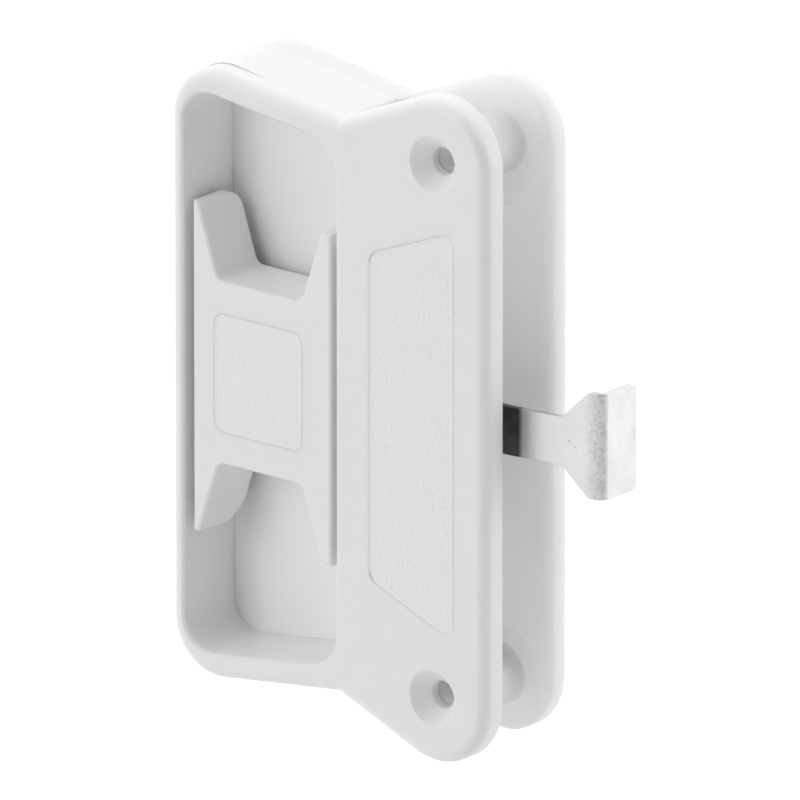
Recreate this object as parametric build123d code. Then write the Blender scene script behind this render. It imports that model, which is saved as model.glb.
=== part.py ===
from build123d import *
import math
import os

# Sliding door handle: inside housing with finger recess and latch lever,
# outside plate, steel hook. Millimetres. X runs to the hook, Y into the door,
# Z up. The origin is midway between the two screw holes, on the door's face.

# Outline of the housing; the outside plate has the same form
hole_pitch = 85.725
hole_z = hole_pitch / 2
lobe_r = 10.4
flare_deg = 22.5
waist_x = -19.3
waist_r = 0.8
box_taper_deg = 7.2
back_taper_deg = 8.6
left_x = -52.25
left_corner_r = 8.7
edge_r = 1.9
overlap = 0.4

# Inside housing
face_y = -4.2
seam_y = 10.85
face_wall = 2.2
skirt_wall = 1.9
box_right_x = -18.6
box_corner_r = 1.0
seam_gap = 0.18
seam_depth = 0.4
rim_width = 1.8
screw_r = 2.2
csk_r = 4.5
csk_deg = 82
seat_r = 6.2
hollow_left_x = -15.8
rib_zs = (-28, -14, 14, 28)
rib_half = 0.6
slot_front_y = 2.2
slot_half = 4.6
window_x0 = -32.5
window_x1 = -22.5
window_half = 5.0

# Finger recess
recess_left_x = -49.7
recess_right_x = -19.3
recess_rim = 4.0
recess_left_r = 5.2
recess_right_r = 6.0
recess_floor_y = 7.3
floor_wall = 1.4
recess_draft_deg = 2.5
recess_edge = 0.4

# Grained panels, sunk a little into the faces
panel_sink = 0.15
panel_r = 1.8
panel_left_x = -12.5
panel_right_x = 4.0
panel_left_half = 26.2
panel_right_half = 32.8
lever_panel_x = -35.3
lever_panel_width = 17.4
lever_panel_height = 19.0

# Latch lever
lever_left_x = -48.3
lever_right_x = -20.8
lever_mid_x = -35.0
lever_z = 0.5
lever_half_z = 26.7
lever_face_y = -3.5
lever_back_y = 5.4
lever_wall = 1.4
lever_skin = 1.6
cut_z = 14.7
cut_half = 8.3
cut_flare = 0.33
cut_corner_r = 1.8
cut_draft_deg = 5
horn_tip = 0.45
horn_top_r = 2.5
horn_bottom_r = 4.5
lever_edge = 0.3

# Pivot, spring and latch
pin_x = -35.2
pin_y = 4.0
pin_r = 1.25
pin_half = 12.3
lug_z = 11.0
lug_r = 2.4
lug_half = 1.0
lug_fit = 0.02
clip_z = 6.5
clip_r = 2.3
clip_half = 1.25
clip_fit = 0.05
clip_mouth = 2.0
spring_peg_x = -43.6
spring_end_x = -46.9
spring_bend_x = -39.4
spring_tip_x = -46.0
spring_steel = 0.4
spring_half = 2.6
peg_r = 1.2
peg_fit = 0.1
steel = 1.0
arm_y = 4.4
arm_half = 3.85
arm_start_x = -31.6
arm_bend_x = 8.5
arm_bend_deg = 9
hook_x = 24.5
hook_half = 8.45
flare_x = 17.7
hook_reach = 7.3
stake_xs = (-29.6, -25.4)
stake_r = 1.2
stake_fit = 0.05
stake_rib_half = 1.3
stake_head_r = 1.8
stake_head = 0.7

# Outside plate, a little smaller than the housing at the screw lobes
plate_lobe_r = 9.7
plate_rise = 0.4
plate_rim_y = 12.4
plate_rim_edge = 0.7
plate_face_y = 17.2
plate_floor_y = 15.6
plate_wall = 1.4
pad_rise = 0.12
pad_left_x = -14.0
pad_right_x = 8.1
pad_half = 33.0
pad_r = 1.0
seat_pad_r = 7.6
boss_r = 4.8
boss_bore_r = 1.4
boss_front_y = 0.3
cup_left_x = -48.6
cup_right_x = -21.4
cup_inset = 5.2
cup_corner_r = 5.0
cup_depth = 5.2
cup_wall = 1.4
cup_draft_deg = 8
cup_edge = 0.6

# Lobe radius and box taper of the housing's face, of its back and of the plate
FRONT = (lobe_r, box_taper_deg)
BACK = (lobe_r, back_taper_deg)
PLATE = (plate_lobe_r, back_taper_deg)


def plane_at(y):
    return Plane((0, y, 0), x_dir=(1, 0, 0), z_dir=(0, -1, 0))


def prism(sketch, y_from, y_to, taper=0):
    """Solid of an X-Z sketch between two depths; a taper narrows it on the way."""
    way = (0, 1, 0) if y_to > y_from else (0, -1, 0)
    return extrude(plane_at(y_from) * sketch, amount=abs(y_to - y_from), dir=way, taper=taper)


def rod(x, z, r, y_from, y_to):
    return prism(Pos(x, z) * Circle(r), y_from, y_to)


def block(x0, x1, y0, y1, z0, z1):
    return Pos((x0 + x1) / 2, (y0 + y1) / 2, (z0 + z1) / 2) * Box(x1 - x0, y1 - y0, z1 - z0)


def loft_between(sketch_a, y_a, sketch_b, y_b):
    return loft([plane_at(y_a) * sketch_a, plane_at(y_b) * sketch_b], ruled=True)


def polygon(points):
    return make_face(Polyline(*points, close=True))


def flare_tangent(lobe):
    turn = math.radians(90 + flare_deg)
    return lobe * math.cos(turn), hole_z + lobe * math.sin(turn)


def box_top(x, lobe=lobe_r, taper_deg=box_taper_deg):
    """Half-height of the recess box, growing to the left from the waist."""
    tx, tz = flare_tangent(lobe)
    waist_z = tz - (tx - waist_x) * math.tan(math.radians(flare_deg))
    return waist_z + (waist_x - x) * math.tan(math.radians(taper_deg))


def outline(lobe, taper_deg):
    """Bow-tie outline: two screw lobes on the right, the tapered box on the left."""
    tx, tz = flare_tangent(lobe)
    waist_z = box_top(waist_x, lobe, taper_deg)
    left_z = box_top(left_x, lobe, taper_deg)
    sweep = 90 + flare_deg
    edges = [
        Line((lobe, -hole_z), (lobe, hole_z)),
        CenterArc((0, hole_z), lobe, 0, sweep),
        Line((tx, tz), (waist_x, waist_z)),
        Line((waist_x, waist_z), (left_x, left_z)),
        Line((left_x, left_z), (left_x, -left_z)),
        Line((left_x, -left_z), (waist_x, -waist_z)),
        Line((waist_x, -waist_z), (tx, -tz)),
        CenterArc((0, -hole_z), lobe, -sweep, sweep),
    ]
    shape = make_face(edges)
    shape = fillet(shape.vertices().group_by(Axis.X)[0], left_corner_r)
    at_waist = [v for v in shape.vertices() if abs(v.X - waist_x) < 0.01]
    return fillet(at_waist, waist_r)


def box_outline(lobe, taper_deg):
    """The outline's box part alone, closed just right of the waist."""
    z0 = box_top(left_x, lobe, taper_deg)
    z1 = box_top(box_right_x, lobe, taper_deg)
    shape = polygon([(left_x, -z0), (box_right_x, -z1), (box_right_x, z1), (left_x, z0)])
    shape = fillet(shape.vertices().group_by(Axis.X)[0], left_corner_r)
    return fillet(shape.vertices().group_by(Axis.X)[-1], box_corner_r)


def pocket(x0, x1, inset, y_from, y_to, draft, left_r, right_r):
    """Drafted four-sided solid with ends parallel to the box's tapered ends."""
    drop = inset / math.cos(math.radians(box_taper_deg))
    z0 = box_top(x0) - drop
    z1 = box_top(x1) - drop
    shape = polygon([(x0, -z0), (x1, -z1), (x1, z1), (x0, z0)])
    solid = prism(shape, y_from, y_to, draft)
    middle = (x0 + x1) / 2
    depth = solid.edges().filter_by_position(Axis.Y, *sorted((y_from, y_to)), inclusive=(False, False))
    solid = fillet([e for e in depth if e.center().X < middle], left_r)
    depth = solid.edges().filter_by_position(Axis.Y, *sorted((y_from, y_to)), inclusive=(False, False))
    return fillet([e for e in depth if e.center().X > middle], right_r)


def flange_panel():
    """Outline of the grained panel between the screw lobes."""
    left = [(panel_left_x, panel_left_half), (panel_left_x, -panel_left_half)]
    right = [(panel_right_x, -panel_right_half), (panel_right_x, panel_right_half)]
    return fillet(polygon(left + right).vertices(), panel_r)


def flange_hollow():
    """Space behind the flange face, with the screw pillars left standing."""
    room = offset(outline(*FRONT), -rim_width) & Rectangle(-2 * hollow_left_x, 2 * hole_pitch)
    for side in (1, -1):
        room -= Pos(0, side * hole_z) * Circle(seat_r)
    return prism(room, face_y + face_wall, 0)


def screw_cut():
    slope = math.tan(math.radians(csk_deg / 2))
    depth = (csk_r - screw_r) / slope
    cut = Part()
    for side in (1, -1):
        cone = loft_between(Circle(csk_r), face_y, Circle(screw_r), face_y + depth)
        cut += Pos(0, 0, side * hole_z) * (cone + rod(0, 0, screw_r, face_y, 1))
    return cut


def pivot_lug(z):
    """Eye on the recess floor that carries the pin."""
    root_y = recess_floor_y + floor_wall / 2
    profile = Pos(pin_x, pin_y) * Circle(lug_r)
    profile += Pos(pin_x, (pin_y + root_y) / 2) * Rectangle(2 * lug_r, root_y - pin_y)
    profile -= Pos(pin_x, pin_y) * Circle(pin_r + lug_fit)
    return Pos(0, 0, z - lug_half) * extrude(profile, amount=2 * lug_half)


def make_housing():
    skirt = loft_between(box_outline(*FRONT), 0, box_outline(*BACK), seam_y - seam_gap)
    body = prism(outline(*FRONT), 0, face_y) + skirt
    body = fillet(body.faces().sort_by(Axis.Y)[0].outer_wire().edges(), edge_r)
    body += prism(offset(box_outline(*BACK), -seam_depth), 0, seam_y)
    span = (recess_left_x, recess_right_x, recess_rim, face_y, recess_floor_y)
    body -= pocket(*span, recess_draft_deg, recess_left_r, recess_right_r)
    body = chamfer(body.faces().sort_by(Axis.Y)[0].inner_wires()[0].edges(), recess_edge)
    body -= prism(offset(box_outline(*BACK), -skirt_wall), recess_floor_y + floor_wall, seam_y)
    body -= flange_hollow()
    body -= prism(flange_panel(), face_y, face_y + panel_sink)
    body -= screw_cut()
    rib_front = face_y + face_wall - overlap
    for z in rib_zs:
        body += block(hollow_left_x - overlap, lobe_r - 1, rib_front, -0.3, z - rib_half, z + rib_half)
    slot_back = arm_y + steel / 2 + 0.05
    body -= block(recess_right_x - 1, hollow_left_x, slot_front_y, slot_back, -slot_half, slot_half)
    floor_back = recess_floor_y + floor_wall + 1
    body -= block(window_x0, window_x1, recess_floor_y - 1, floor_back, -window_half, window_half)
    for z in (lug_z, -lug_z):
        body += pivot_lug(z)
    body += rod(spring_peg_x, 0, peg_r, recess_floor_y + overlap, recess_floor_y - 1)
    return body


def finger_cut(side):
    """Finger notch in the lever: open outward, narrowing toward the back."""
    tip_z = lever_half_z - horn_tip
    wide = cut_half + (tip_z - cut_z) * cut_flare
    end = wide + 2 * horn_tip
    half = [(cut_half, cut_z), (wide, tip_z), (end, tip_z + 2 * horn_tip), (end, lever_half_z + 6)]
    ring = half + [(-x, z) for x, z in reversed(half)]
    shape = polygon([(lever_mid_x + x, lever_z + side * z) for x, z in ring])
    solid = prism(shape, lever_face_y, lever_back_y, cut_draft_deg)
    depth = solid.edges().sort_by(lambda e: abs(e.center().Z - lever_z))
    inner = [e for e in depth if lever_face_y + 1 < e.center().Y < lever_back_y - 1]
    return fillet(inner[:2], cut_corner_r)


def lever_side():
    """Side view of the lever: the back corners of the horns are rounded."""
    shape = polygon(
        [
            (lever_face_y, -lever_half_z),
            (lever_back_y, -lever_half_z),
            (lever_back_y, lever_half_z),
            (lever_face_y, lever_half_z),
        ]
    )
    back = shape.vertices().group_by(Axis.X)[-1].sort_by(Axis.Y)
    shape = fillet(back[1], horn_top_r)
    back = [v for v in shape.vertices() if v.X > lever_back_y - 0.01 and v.Y < 0]
    shape = fillet(back, horn_bottom_r)
    start = Plane((lever_left_x, 0, lever_z), x_dir=(0, 1, 0), z_dir=(1, 0, 0))
    return extrude(start * shape, amount=lever_right_x - lever_left_x)


def pin_clip(z):
    """Snap clip on the lever, open at the back, that grips the pin."""
    root_y = lever_face_y + lever_skin - overlap
    profile = Pos(pin_x, pin_y) * Circle(clip_r)
    profile += Pos(pin_x, (pin_y + root_y) / 2) * Rectangle(2 * clip_r, pin_y - root_y)
    profile -= Pos(pin_x, pin_y) * Circle(pin_r + clip_fit)
    profile -= Pos(pin_x, pin_y + clip_r) * Rectangle(clip_mouth, 2 * clip_r)
    return Pos(0, 0, z - clip_half) * extrude(profile, amount=2 * clip_half)


def stakes(root_y):
    """Rib under the steel strip and the two pegs, melted over, that hold it."""
    front = arm_y - steel / 2
    back = arm_y + steel / 2
    rib = block(arm_start_x, lever_right_x - 1, root_y - overlap, front, -stake_rib_half, stake_rib_half)
    for x in stake_xs:
        rib += rod(x, 0, stake_r, front - overlap, back + overlap)
        rib += rod(x, 0, stake_head_r, back, back + stake_head)
    return rib


def make_lever():
    body = lever_side() - finger_cut(1) - finger_cut(-1)
    body = chamfer(body.faces().sort_by(Axis.Y)[0].edges(), lever_edge)
    inside = lever_face_y + lever_skin
    width = lever_right_x - lever_left_x
    middle = (lever_left_x + lever_right_x) / 2
    room = RectangleRounded(width - 2 * lever_wall, 2 * (cut_z - lever_wall), lever_wall)
    body -= prism(Pos(middle, lever_z) * room, inside, lever_back_y)
    panel = RectangleRounded(lever_panel_width, lever_panel_height, panel_r)
    body -= prism(Pos(lever_panel_x, lever_z) * panel, lever_face_y, lever_face_y + panel_sink)
    for z in (clip_z, -clip_z):
        body += pin_clip(z)
    body += stakes(inside)
    slot_x0 = lever_right_x - lever_wall - 0.5
    half = arm_half + 0.15
    body -= block(slot_x0, lever_right_x + 1, arm_y - steel / 2, lever_back_y + 1, -half, half)
    return body


def strip_profile():
    """Side view of the bent steel strip, in X and Y."""
    turn = math.radians(arm_bend_deg)
    knee_y = arm_y + (hook_x - arm_bend_x) * math.tan(turn)
    t = steel / 2
    half = math.tan(turn / 2) * t
    along = (math.cos(turn), math.sin(turn))
    points = [
        (arm_start_x, arm_y - t),
        (arm_bend_x + half, arm_y - t),
        (hook_x + t, knee_y + (t / along[0]) * (along[1] - 1)),
        (hook_x + t, knee_y + hook_reach),
        (hook_x - t, knee_y + hook_reach),
        (hook_x - t, knee_y + (t / along[0]) * (1 - along[1])),
        (arm_bend_x - half, arm_y + t),
        (arm_start_x, arm_y + t),
    ]
    shape = polygon(points)
    outer = [v for v in shape.vertices() if v.X > hook_x and v.Y < knee_y + 1]
    shape = fillet(outer, 1.6)
    inner = [v for v in shape.vertices() if abs(v.X - hook_x + t) < 0.01 and v.Y < knee_y + 2]
    return fillet(inner, 0.6)


def strip_outline():
    """Front view of the strip: a straight arm that flares to the hook."""
    grow = hook_half - arm_half
    top = [
        (arm_start_x, arm_half),
        (flare_x, arm_half),
        (flare_x + grow, hook_half),
        (hook_x + 3, hook_half),
    ]
    shape = polygon(top + [(x, -z) for x, z in reversed(top)])
    bends = [v for v in shape.vertices() if flare_x - 1 < v.X < hook_x]
    return fillet(bends, 0.8)


def make_hook():
    strip = Pos(0, 0, -10) * extrude(strip_profile(), amount=20)
    body = strip & prism(strip_outline(), 0, 20)
    tip_y = max(v.Y for v in body.vertices())
    tips = [e for e in body.edges().filter_by(Axis.X) if e.center().Y > tip_y - 0.01]
    body = fillet(tips, 0.9)
    for x in stake_xs:
        body -= rod(x, 0, stake_r + stake_fit, arm_y - steel, arm_y + steel)
    return body


def make_pin():
    return Pos(pin_x, pin_y, 0) * Cylinder(pin_r, 2 * pin_half)


def make_spring():
    """Bent leaf: its foot is pegged to the recess floor, its tip lifts the lever."""
    t = spring_steel / 2
    foot_y = recess_floor_y - t
    tip_y = lever_face_y + lever_skin + t
    path = FilletPolyline(
        (spring_end_x, foot_y), (spring_bend_x, foot_y), (spring_tip_x, tip_y), radius=1.0
    )
    leaf = extrude(make_face(offset(path, t)), amount=2 * spring_half)
    hole = rod(spring_peg_x, 0, peg_r + peg_fit, foot_y - 1, foot_y + 1)
    return Pos(0, 0, -spring_half) * leaf - hole


def outside_cup(body):
    """Finger cup pressed into the plate from the outside."""
    span = (cup_left_x, cup_right_x, cup_inset, plate_face_y, plate_face_y - cup_depth)
    hollow = pocket(*span, cup_draft_deg, cup_corner_r, cup_corner_r)
    outer = (cup_left_x - cup_wall, cup_right_x + cup_wall, cup_inset - cup_wall)
    depths = (plate_floor_y + overlap, plate_face_y - cup_depth - cup_wall)
    outer_r = cup_corner_r + cup_wall
    body = body + pocket(*outer, *depths, cup_draft_deg, outer_r, outer_r) - hollow
    mouth = body.faces().sort_by(Axis.Y)[-1].inner_wires()[0].edges()
    return chamfer(mouth, cup_edge)


def make_plate():
    body = prism(Pos(0, plate_rise) * outline(*PLATE), plate_rim_y, plate_face_y)
    body = fillet(body.faces().sort_by(Axis.Y)[-1].outer_wire().edges(), edge_r)
    body = chamfer(body.faces().sort_by(Axis.Y)[0].outer_wire().edges(), plate_rim_edge)
    box = Pos(0, plate_rise) * box_outline(*PLATE)
    body += prism(box, seam_y, plate_floor_y)
    body -= prism(offset(box, -plate_wall), seam_y, plate_floor_y)
    root_y = plate_rim_y + overlap
    pad = RectangleRounded(pad_right_x - pad_left_x, 2 * pad_half, pad_r)
    pad = Pos((pad_left_x + pad_right_x) / 2, 0) * pad
    body += prism(pad, root_y, plate_rim_y - pad_rise)
    body = outside_cup(body)
    body -= prism(flange_panel(), plate_face_y, plate_face_y - panel_sink)
    for side in (1, -1):
        body += rod(0, side * hole_z, seat_pad_r, root_y, plate_rim_y - pad_rise)
        body += rod(0, side * hole_z, boss_r, root_y, boss_front_y)
        body -= rod(0, side * hole_z, boss_bore_r, boss_front_y, plate_floor_y - 1)
    return body


PARTS = {
    "inside_housing": make_housing,
    "latch_lever": make_lever,
    "latch_hook": make_hook,
    "pivot_pin": make_pin,
    "return_spring": make_spring,
    "outside_plate": make_plate,
}

os.makedirs("parts", exist_ok=True)
for name, make in PARTS.items():
    export_step(make(), f"parts/{name}.step")
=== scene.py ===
import bpy
import math
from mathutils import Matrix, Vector, noise


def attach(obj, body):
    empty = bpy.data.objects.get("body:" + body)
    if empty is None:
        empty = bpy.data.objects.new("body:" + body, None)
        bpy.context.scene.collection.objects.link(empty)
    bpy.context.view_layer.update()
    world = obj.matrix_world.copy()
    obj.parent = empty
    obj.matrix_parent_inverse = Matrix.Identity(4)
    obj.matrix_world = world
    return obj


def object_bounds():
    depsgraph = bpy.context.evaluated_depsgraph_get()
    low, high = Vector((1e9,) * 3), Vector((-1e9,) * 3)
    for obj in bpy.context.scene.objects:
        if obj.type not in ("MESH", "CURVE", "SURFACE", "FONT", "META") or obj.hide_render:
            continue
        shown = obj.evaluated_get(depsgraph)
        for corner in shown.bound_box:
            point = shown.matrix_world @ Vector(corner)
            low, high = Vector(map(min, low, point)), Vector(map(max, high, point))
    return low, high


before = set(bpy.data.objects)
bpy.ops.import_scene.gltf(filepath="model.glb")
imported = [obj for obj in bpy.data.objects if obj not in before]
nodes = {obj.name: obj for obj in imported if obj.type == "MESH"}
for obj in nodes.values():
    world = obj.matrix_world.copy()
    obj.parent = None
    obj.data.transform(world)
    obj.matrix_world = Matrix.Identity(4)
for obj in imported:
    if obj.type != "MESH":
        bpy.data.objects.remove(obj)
cad_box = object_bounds()
MM = 0.001

# Photograph: viewing angle, scale and where the part's origin lies in the 800 x 800 image
IMAGE_PX = 800
VIEW_AZIMUTH = 39.6
VIEW_ELEVATION = 18.3
PX_PER_MM = 6.55
ORIGIN_PX = (450.0, 426.2)
CAMERA_DISTANCE = 4.0
CAMERA_CLIP = (0.05, 100.0)
SENSOR_MM = 36.0

# Sunk panels in millimetres, as in the CAD model: ends in X, half-height at each end,
# middle in Z and floor in Y
FLANGE_PANEL = {"x": (-12.5, 4.0), "half": (26.2, 32.8), "middle": 0.0, "floor": -4.05}
LEVER_PANEL = {"x": (-44.0, -26.6), "half": (9.5, 9.5), "middle": 0.5, "floor": -3.35}
PANEL_CORNER = 1.8

# Grained inlays of those panels in millimetres, heights above the panel's floor.
# The border is almost flush with the face around it and slopes down to the grain.
PANEL_GAP = 0.005
INLAY_FOOT = 0.0075
BORDER_HEIGHT = 0.147
BORDER_WIDTH = 0.5
GRAIN_PITCH = 0.14
GRAIN_BASE = 0.03
GRAIN_HEIGHT = 0.085

# Moulded grain: two layers of noise around a middle height
GRAIN_MIDDLE = 0.5
BROAD_GRAIN = {"per_mm": 2.2, "layer": 3.0, "weight": 1.2}
FINE_GRAIN = {"per_mm": 4.0, "layer": 9.0, "weight": 0.9}

# Ranges: all of a factor, where most of a noise lies, and a ramp that falls instead of rising
FULL_RANGE = (0.0, 1.0)
NOISE_RANGE = (0.3, 0.7)
FALLING = (1.0, 0.0)

# Noises and specks: scale counts per metre. A speck's size is a share of its cell, share is the
# part of the cells that hold one, and DOT_CORE is the part of a dot with full colour.
DOT_CORE = 0.6
BEVEL_SAMPLES = 6

# White plastic
PLASTIC_COLOURS = ((0.945, 0.948, 0.95), (0.96, 0.961, 0.959))
PLASTIC_CLOUD = {"scale": 55.0, "detail": 3.0}
PLASTIC_SPECKS = {"scale": 95.0, "size": 0.03, "share": 0.16}
SPECK_COLOUR = (0.5, 0.49, 0.48)
SKIN_NOISE = {"scale": 900.0, "detail": 3.0}
SKIN_RELIEF_MM = 0.01
SKIN_BUMP = 0.5
PLASTIC_ROUGHNESS = (0.36, 0.48)
PLASTIC_IOR = 1.48
GLOW_TINT = (1.0, 0.98, 0.95)
FAINT_GLOW = 0.1

# Outside plate: stretch of X, in millimetres, over which its plastic begins to let light through
PLATE_GLOW_X = (-17.0, -12.0)

# Zinc-plated hook
ZINC_COLOURS = ((0.62, 0.63, 0.625), (0.71, 0.72, 0.715))
ZINC_CLOUD = {"scale": 260.0, "detail": 5.0, "roughness": 0.62}
ZINC_FINE = {"scale": 1500.0, "detail": 4.0, "roughness": 0.6}
ZINC_RELIEF_MM = 0.01
ZINC_BUMP = 0.6
ZINC_ROUGHNESS = (0.26, 0.42)
ZINC_EDGE_MM = 0.12
ZINC_PITS = {"scale": 900.0, "size": 0.3, "share": 0.12}
PIT_COLOUR = (0.5, 0.5, 0.47)

# Wear of the hook's plating: ramps in X and Y towards its bent end, in millimetres, and its pattern
HOOK_WORN_X = (21.6, 23.6)
HOOK_WORN_Y = (6.9, 7.8)
WORN_NOISE = {"scale": 1600.0, "detail": 4.0}
WORN_RANGE = (0.35, 0.75)
WORN_AMOUNT = (0.25, 0.85)
WORN_COLOUR = (0.36, 0.36, 0.34)

# Painted dark reflection on the hook, standing in for the dark gap behind the flange that its metal
# mirrors: ends over this stretch of X, in millimetres, where the strip leaves the plates
HOOK_DARK_REFLECTION_X = (10.1, 10.9)
DARK_REFLECTION_RANGE = (0.35, 0.65)
DARK_REFLECTION_COLOURS = ((0.07, 0.07, 0.07), (0.15, 0.15, 0.15))

# Drawn steel of the pin and the spring: its noise is stretched into lines along Z
DRAWN_COLOURS = ((0.58, 0.58, 0.57), (0.7, 0.7, 0.7))
DRAWN_STRETCH = (1.0, 1.0, 0.08)
DRAWN_NOISE = {"scale": 2600.0, "detail": 3.0}
DRAWN_RELIEF_MM = 0.005
DRAWN_BUMP = 0.5
DRAWN_ROUGHNESS = (0.22, 0.38)

# Studio, in metres: floor, world light with its dark patch, and lamps
WHITE = (1.0, 1.0, 1.0, 1.0)
FLOOR_DROP = 0.16
FLOOR_SIZE = 40.0
FLOOR_COLOUR = (0.7, 0.7, 0.7, 1.0)
FLOOR_ROUGHNESS = 0.9
FLOOR_GLOW = 0.4
WORLD_LEVEL = 0.86
DARK_LEVEL = 0.0
DARK_SIDE = (0.7, -0.7, 0.15)
DARK_RANGE = (0.45, 0.95)
LAMP_DISTANCE = 1.2
LAMP_SIZE = 0.6
LAMPS = {
    "top_lamp": {"towards": (-0.1, 0.2, 0.95), "level": 0.18},
    "back_lamp": {"towards": (-0.5, 0.8, 0.4), "level": 0.04},
    "front_lamp": {"towards": (-0.35, -0.9, 0.3), "level": 0.2},
    "right_lamp": {"towards": (0.8, 0.58, 0.1), "level": 0.2},
}


def metres(span):
    """A stretch in millimetres, as metres."""
    return tuple(end * MM for end in span)


def new_material(name):
    """New node material; returns it with its tree and its surface shader."""
    made = bpy.data.materials.new(name)
    made.use_nodes = True
    tree = made.node_tree
    return made, tree, tree.nodes["Principled BSDF"]


def node(tree, kind, **values):
    """Adds a node; plain names set its properties, in_0, in_1 and so on its inputs."""
    made = tree.nodes.new("ShaderNode" + kind)
    for key, value in values.items():
        if key.startswith("in_"):
            made.inputs[int(key[3:])].default_value = value
        else:
            setattr(made, key, value)
    return made


def place(tree):
    """Position on the piece, in metres of its own frame."""
    return node(tree, "TexCoord").outputs["Object"]


def axes(tree, where):
    """X, Y and Z of a position."""
    made = node(tree, "SeparateXYZ")
    tree.links.new(where, made.inputs[0])
    return made.outputs


def noise_at(tree, where, scale, detail, roughness=0.5):
    """Cloudy noise, 0 to 1."""
    made = node(tree, "TexNoise")
    made.inputs["Scale"].default_value = scale
    made.inputs["Detail"].default_value = detail
    made.inputs["Roughness"].default_value = roughness
    tree.links.new(where, made.inputs["Vector"])
    return made.outputs["Fac"]


def spread(tree, value, span, result=FULL_RANGE):
    """Maps a value from span to result, clamped."""
    made = node(tree, "MapRange")
    tree.links.new(value, made.inputs["Value"])
    for name, number in zip(("From Min", "From Max", "To Min", "To Max"), (*span, *result)):
        made.inputs[name].default_value = number
    return made.outputs["Result"]


def blend_colours(tree, amount, first, second):
    """Mixes two colours, each a tuple or a socket."""
    made = node(tree, "Mix", data_type="RGBA")
    tree.links.new(amount, made.inputs[0])
    # A mix of colours has them on inputs 6 and 7 and its result on output 2
    for socket, colour in ((made.inputs[6], first), (made.inputs[7], second)):
        if isinstance(colour, tuple):
            socket.default_value = (*colour, 1.0)
        else:
            tree.links.new(colour, socket)
    return made.outputs[2]


def bump(tree, height, relief_mm, strength, normal=None):
    """Fine relief on top of a normal."""
    made = node(tree, "Bump")
    made.inputs["Strength"].default_value = strength
    made.inputs["Distance"].default_value = relief_mm * MM
    tree.links.new(height, made.inputs["Height"])
    if normal is not None:
        tree.links.new(normal, made.inputs["Normal"])
    return made.outputs["Normal"]


def times(tree, first, second):
    """Product of two values."""
    made = node(tree, "Math", operation="MULTIPLY")
    tree.links.new(first, made.inputs[0])
    tree.links.new(second, made.inputs[1])
    return made.outputs[0]


def soft_edges(tree, edge_mm):
    """Normal that rounds the sharp edges."""
    made = node(tree, "Bevel", samples=BEVEL_SAMPLES)
    made.inputs["Radius"].default_value = edge_mm * MM
    return made.outputs["Normal"]


def specks(tree, where, scale, size, share):
    """Sparse round dots: 1 inside a dot, 0 elsewhere."""
    cells = node(tree, "TexVoronoi")
    cells.inputs["Scale"].default_value = scale
    tree.links.new(where, cells.inputs["Vector"])
    dot = spread(tree, cells.outputs["Distance"], (size * DOT_CORE, size), FALLING)
    split = node(tree, "SeparateColor")
    tree.links.new(cells.outputs["Color"], split.inputs[0])
    chosen = node(tree, "Math", operation="LESS_THAN", in_1=share)
    tree.links.new(split.outputs[0], chosen.inputs[0])
    return times(tree, dot, chosen.outputs[0])


def white_plastic(name, edge_mm, glow, glow_mm, glow_x=None):
    """Moulded white plastic: faint clouding, a few dark specks, a soft satin skin.

    glow is how much light scatters inside and glow_mm how far it goes. With glow_x, the glow
    sets in over that stretch of X and is faint before it.
    """
    made, tree, shader = new_material(name)
    where = place(tree)
    cloud = noise_at(tree, where, **PLASTIC_CLOUD)
    colour = blend_colours(tree, cloud, *PLASTIC_COLOURS)
    dots = specks(tree, where, **PLASTIC_SPECKS)
    colour = blend_colours(tree, dots, colour, SPECK_COLOUR)
    tree.links.new(colour, shader.inputs["Base Color"])
    skin = noise_at(tree, where, **SKIN_NOISE)
    tree.links.new(spread(tree, skin, NOISE_RANGE, PLASTIC_ROUGHNESS), shader.inputs["Roughness"])
    shader.inputs["IOR"].default_value = PLASTIC_IOR
    if glow_x is None:
        shader.inputs["Subsurface Weight"].default_value = glow
    else:
        through = spread(tree, axes(tree, where)["X"], metres(glow_x), (FAINT_GLOW, glow))
        tree.links.new(through, shader.inputs["Subsurface Weight"])
    shader.inputs["Subsurface Radius"].default_value = GLOW_TINT
    shader.inputs["Subsurface Scale"].default_value = glow_mm * MM
    normal = bump(tree, skin, SKIN_RELIEF_MM, SKIN_BUMP, soft_edges(tree, edge_mm))
    tree.links.new(normal, shader.inputs["Normal"])
    return made


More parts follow.
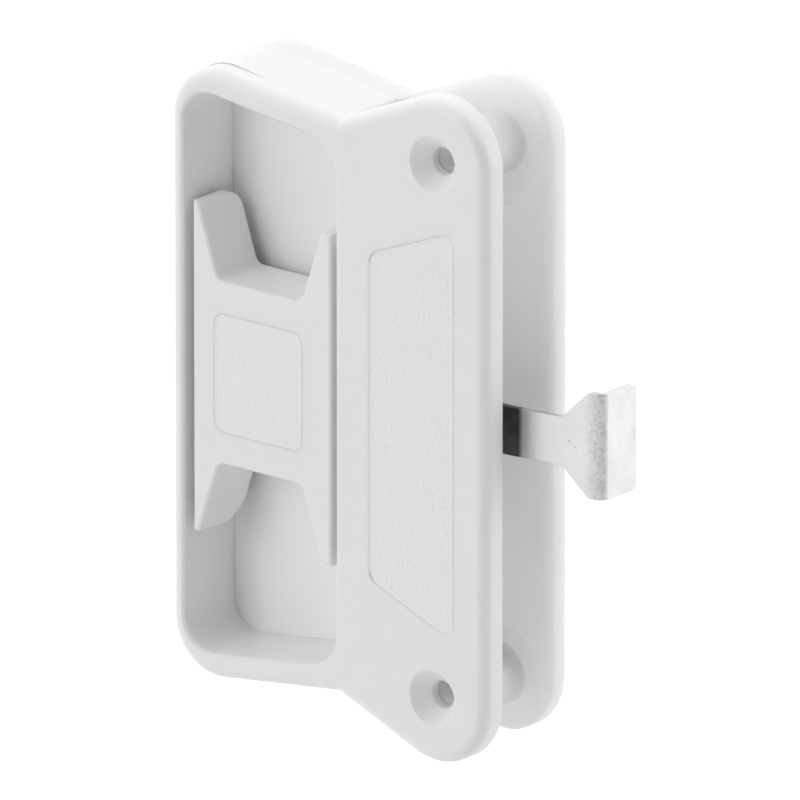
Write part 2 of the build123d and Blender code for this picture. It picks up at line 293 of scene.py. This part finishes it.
def zinc_steel(name):
    """Zinc-plated strip: cloudy and finely pitted, worn at its bent end, with a painted dark
    reflection between the plates.
    """
    made, tree, shader = new_material(name)
    where = place(tree)
    along = axes(tree, where)
    cloud = noise_at(tree, where, **ZINC_CLOUD)
    fine = noise_at(tree, where, **ZINC_FINE)
    colour = blend_colours(tree, spread(tree, cloud, NOISE_RANGE), *ZINC_COLOURS)
    pits = specks(tree, where, **ZINC_PITS)
    colour = blend_colours(tree, pits, colour, PIT_COLOUR)

    near_bend = times(
        tree,
        spread(tree, along["X"], metres(HOOK_WORN_X)),
        spread(tree, along["Y"], metres(HOOK_WORN_Y), FALLING),
    )
    wear = spread(tree, noise_at(tree, where, **WORN_NOISE), WORN_RANGE, WORN_AMOUNT)
    colour = blend_colours(tree, times(tree, near_bend, wear), colour, WORN_COLOUR)

    # Painted dark reflection: the strip behind the flange gets a dark colour that stands in for the
    # dark gap its metal mirrors
    painted_reflection_mask = spread(tree, along["X"], metres(HOOK_DARK_REFLECTION_X), FALLING)
    dark_reflection = blend_colours(tree, spread(tree, cloud, DARK_REFLECTION_RANGE), *DARK_REFLECTION_COLOURS)
    colour = blend_colours(tree, painted_reflection_mask, colour, dark_reflection)

    tree.links.new(colour, shader.inputs["Base Color"])
    shader.inputs["Metallic"].default_value = 1.0
    tree.links.new(spread(tree, cloud, NOISE_RANGE, ZINC_ROUGHNESS), shader.inputs["Roughness"])
    normal = bump(tree, fine, ZINC_RELIEF_MM, ZINC_BUMP, soft_edges(tree, ZINC_EDGE_MM))
    tree.links.new(normal, shader.inputs["Normal"])
    return made


def bright_steel(name):
    """Drawn steel of the pin and the spring, with fine lines along its length."""
    made, tree, shader = new_material(name)
    stretch = node(tree, "Mapping")
    stretch.inputs["Scale"].default_value = DRAWN_STRETCH
    tree.links.new(place(tree), stretch.inputs["Vector"])
    lines = noise_at(tree, stretch.outputs[0], **DRAWN_NOISE)
    tree.links.new(blend_colours(tree, lines, *DRAWN_COLOURS), shader.inputs["Base Color"])
    shader.inputs["Metallic"].default_value = 1.0
    tree.links.new(spread(tree, lines, FULL_RANGE, DRAWN_ROUGHNESS), shader.inputs["Roughness"])
    tree.links.new(bump(tree, lines, DRAWN_RELIEF_MM, DRAWN_BUMP), shader.inputs["Normal"])
    return made


def dress(name, finish):
    """Gives a CAD node its finish."""
    target = nodes[name]
    if not target.data.materials:
        target.data.materials.append(finish)
    for slot in target.material_slots:
        slot.material = finish


def inlay_ends(panel):
    """Ends of a panel's inlay in X."""
    return panel["x"][0] + PANEL_GAP, panel["x"][1] - PANEL_GAP


def inlay_half(panel, x):
    """Half-height of a panel's inlay at x, with its rounded corners."""
    x0, x1 = inlay_ends(panel)
    share = (x - x0) / (x1 - x0)
    half = panel["half"][0] + share * (panel["half"][1] - panel["half"][0]) - PANEL_GAP
    inside = min(x - x0, x1 - x)
    if inside < PANEL_CORNER:
        half -= PANEL_CORNER - math.sqrt(max(0.0, PANEL_CORNER ** 2 - (PANEL_CORNER - inside) ** 2))
    return half


def grain_layer(x, z, per_mm, layer, weight):
    """One layer of the grain's noise, around 0."""
    return weight * noise.noise(Vector((x * per_mm, z * per_mm, layer)))


def grain(x, z):
    """Height of the moulded grain, 0 to 1."""
    height = GRAIN_MIDDLE + grain_layer(x, z, **BROAD_GRAIN) + grain_layer(x, z, **FINE_GRAIN)
    return min(1.0, max(0.0, height))


def inlay_points(panel, columns, rows):
    """Grid of points on a panel's grained face, one column after another."""
    x0, x1 = inlay_ends(panel)
    points = []
    for i in range(columns + 1):
        x = x0 + (x1 - x0) * i / columns
        half = inlay_half(panel, x)
        for j in range(rows + 1):
            z = half * (2 * j / rows - 1)
            rim = min(x - x0, x1 - x, half - abs(z))
            edge = max(0.0, 1.0 - rim / BORDER_WIDTH)
            height = edge * BORDER_HEIGHT + (1.0 - edge) * (GRAIN_BASE + GRAIN_HEIGHT * grain(x, z))
            points.append((x * MM, (panel["floor"] - height) * MM, (panel["middle"] + z) * MM))
    return points


def grained_panel(name, panel, body, finish):
    """Thin closed inlay with a grained face that lies in a sunk panel."""
    x0, x1 = inlay_ends(panel)
    columns = int((x1 - x0) / GRAIN_PITCH)
    rows = int(2 * max(panel["half"]) / GRAIN_PITCH)
    points = inlay_points(panel, columns, rows)
    stride = rows + 1
    faces = []
    for i in range(columns):
        for j in range(rows):
            a = i * stride + j
            faces.append((a, a + stride, a + stride + 1, a + 1))

    # Sides and back: the grid's border, repeated at the foot
    border = [i * stride for i in range(columns)]
    border += [columns * stride + j for j in range(rows)]
    border += [i * stride + rows for i in range(columns, 0, -1)]
    border += list(range(rows, 0, -1))
    foot = len(points)
    foot_y = (panel["floor"] - INLAY_FOOT) * MM
    points += [(points[index][0], foot_y, points[index][2]) for index in border]
    count = len(border)
    for k in range(count):
        n = (k + 1) % count
        faces.append((border[n], border[k], foot + k, foot + n))
    faces.append(tuple(foot + k for k in reversed(range(count))))

    mesh = bpy.data.meshes.new(name)
    mesh.from_pydata(points, [], faces)
    mesh.polygons.foreach_set("use_smooth", [True] * len(mesh.polygons))
    made = bpy.data.objects.new(name, mesh)
    bpy.context.scene.collection.objects.link(made)
    mesh.materials.append(finish)
    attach(made, body)


def add_camera():
    """Camera at the photograph's angle, scale and offset."""
    azimuth = math.radians(VIEW_AZIMUTH)
    elevation = math.radians(VIEW_ELEVATION)
    back = Vector(
        (
            math.sin(azimuth) * math.cos(elevation),
            -math.cos(azimuth) * math.cos(elevation),
            math.sin(elevation),
        )
    )
    right = Vector((math.cos(azimuth), math.sin(azimuth), 0.0))
    up = back.cross(right)
    across = (IMAGE_PX / 2 - ORIGIN_PX[0]) / PX_PER_MM * MM
    rise = (ORIGIN_PX[1] - IMAGE_PX / 2) / PX_PER_MM * MM
    data = bpy.data.cameras.new("camera")
    data.sensor_width = SENSOR_MM
    data.lens = SENSOR_MM * CAMERA_DISTANCE * PX_PER_MM / (IMAGE_PX * MM)
    data.clip_start, data.clip_end = CAMERA_CLIP
    made = bpy.data.objects.new("camera", data)
    bpy.context.scene.collection.objects.link(made)
    made.rotation_mode = "QUATERNION"
    made.rotation_quaternion = (-back).to_track_quat("-Z", "Y")
    made.location = right * across + up * rise + back * CAMERA_DISTANCE
    bpy.context.scene.camera = made


def add_floor():
    """Pale floor below the part, which glows only where it is seen or mirrored."""
    level = cad_box[0].z - FLOOR_DROP
    half = FLOOR_SIZE / 2
    corners = [(-half, -half, level), (half, -half, level), (half, half, level), (-half, half, level)]
    mesh = bpy.data.meshes.new("floor")
    mesh.from_pydata(corners, [], [(0, 1, 2, 3)])
    made = bpy.data.objects.new("floor", mesh)
    bpy.context.scene.collection.objects.link(made)
    finish, tree, shader = new_material("floor_white")
    shader.inputs["Base Color"].default_value = FLOOR_COLOUR
    shader.inputs["Roughness"].default_value = FLOOR_ROUGHNESS
    path = node(tree, "LightPath")
    glow = node(tree, "Emission")
    seen = node(tree, "Math", operation="MAXIMUM")
    tree.links.new(path.outputs["Is Camera Ray"], seen.inputs[0])
    tree.links.new(path.outputs["Is Glossy Ray"], seen.inputs[1])
    strength = spread(tree, seen.outputs[0], FULL_RANGE, (0.0, FLOOR_GLOW))
    tree.links.new(strength, glow.inputs["Strength"])
    both = node(tree, "AddShader")
    tree.links.new(shader.outputs[0], both.inputs[0])
    tree.links.new(glow.outputs[0], both.inputs[1])
    tree.links.new(both.outputs[0], tree.nodes["Material Output"].inputs["Surface"])
    mesh.materials.append(finish)


def add_world():
    """Even white light with a dark patch towards DARK_SIDE; seen directly it is plain white."""
    world = bpy.data.worlds.new("studio")
    bpy.context.scene.world = world
    world.use_nodes = True
    tree = world.node_tree
    tree.nodes.clear()
    light = node(tree, "Background")
    light.inputs["Color"].default_value = WHITE
    facing = node(tree, "VectorMath", operation="DOT_PRODUCT", in_1=Vector(DARK_SIDE).normalized())
    tree.links.new(node(tree, "TexCoord").outputs["Generated"], facing.inputs[0])
    level = spread(tree, facing.outputs["Value"], DARK_RANGE, (WORLD_LEVEL, DARK_LEVEL))
    tree.links.new(level, light.inputs["Strength"])
    seen = node(tree, "Background")
    seen.inputs["Color"].default_value = WHITE
    path = node(tree, "LightPath")
    mix = node(tree, "MixShader")
    tree.links.new(path.outputs["Is Camera Ray"], mix.inputs[0])
    tree.links.new(light.outputs[0], mix.inputs[1])
    tree.links.new(seen.outputs[0], mix.inputs[2])
    out = node(tree, "OutputWorld")
    tree.links.new(mix.outputs[0], out.inputs["Surface"])


def add_lamp(name, towards, level):
    """Soft square lamp; level is what it adds to a white surface that faces it."""
    data = bpy.data.lights.new(name, "AREA")
    data.shape = "SQUARE"
    data.size = LAMP_SIZE
    data.energy = level * (math.pi * LAMP_DISTANCE) ** 2
    made = bpy.data.objects.new(name, data)
    bpy.context.scene.collection.objects.link(made)
    way = Vector(towards).normalized()
    made.location = way * LAMP_DISTANCE
    made.rotation_mode = "QUATERNION"
    made.rotation_quaternion = (-way).to_track_quat("-Z", "Y")
    made.visible_camera = False


housing_white = white_plastic("white_plastic_housing", edge_mm=0.5, glow=0.4, glow_mm=1.0)
lever_white = white_plastic("white_plastic_lever", edge_mm=0.3, glow=0.4, glow_mm=1.0)
plate_white = white_plastic(
    "white_plastic_plate", edge_mm=0.5, glow=1.0, glow_mm=14.0, glow_x=PLATE_GLOW_X
)
grain_white = white_plastic("white_plastic_grain", edge_mm=0.05, glow=0.0, glow_mm=1.0)
zinc = zinc_steel("zinc_steel")
bright = bright_steel("bright_steel")

dress("inside_housing", housing_white)
dress("latch_lever", lever_white)
dress("outside_plate", plate_white)
dress("latch_hook", zinc)
dress("pivot_pin", bright)
dress("return_spring", bright)

grained_panel("flange_grain", FLANGE_PANEL, "housing", grain_white)
grained_panel("lever_grain", LEVER_PANEL, "latch", grain_white)

add_camera()
add_floor()
add_world()
for lamp_name, lamp in LAMPS.items():
    add_lamp(lamp_name, **lamp)
bpy.context.scene.view_settings.view_transform = "Standard"
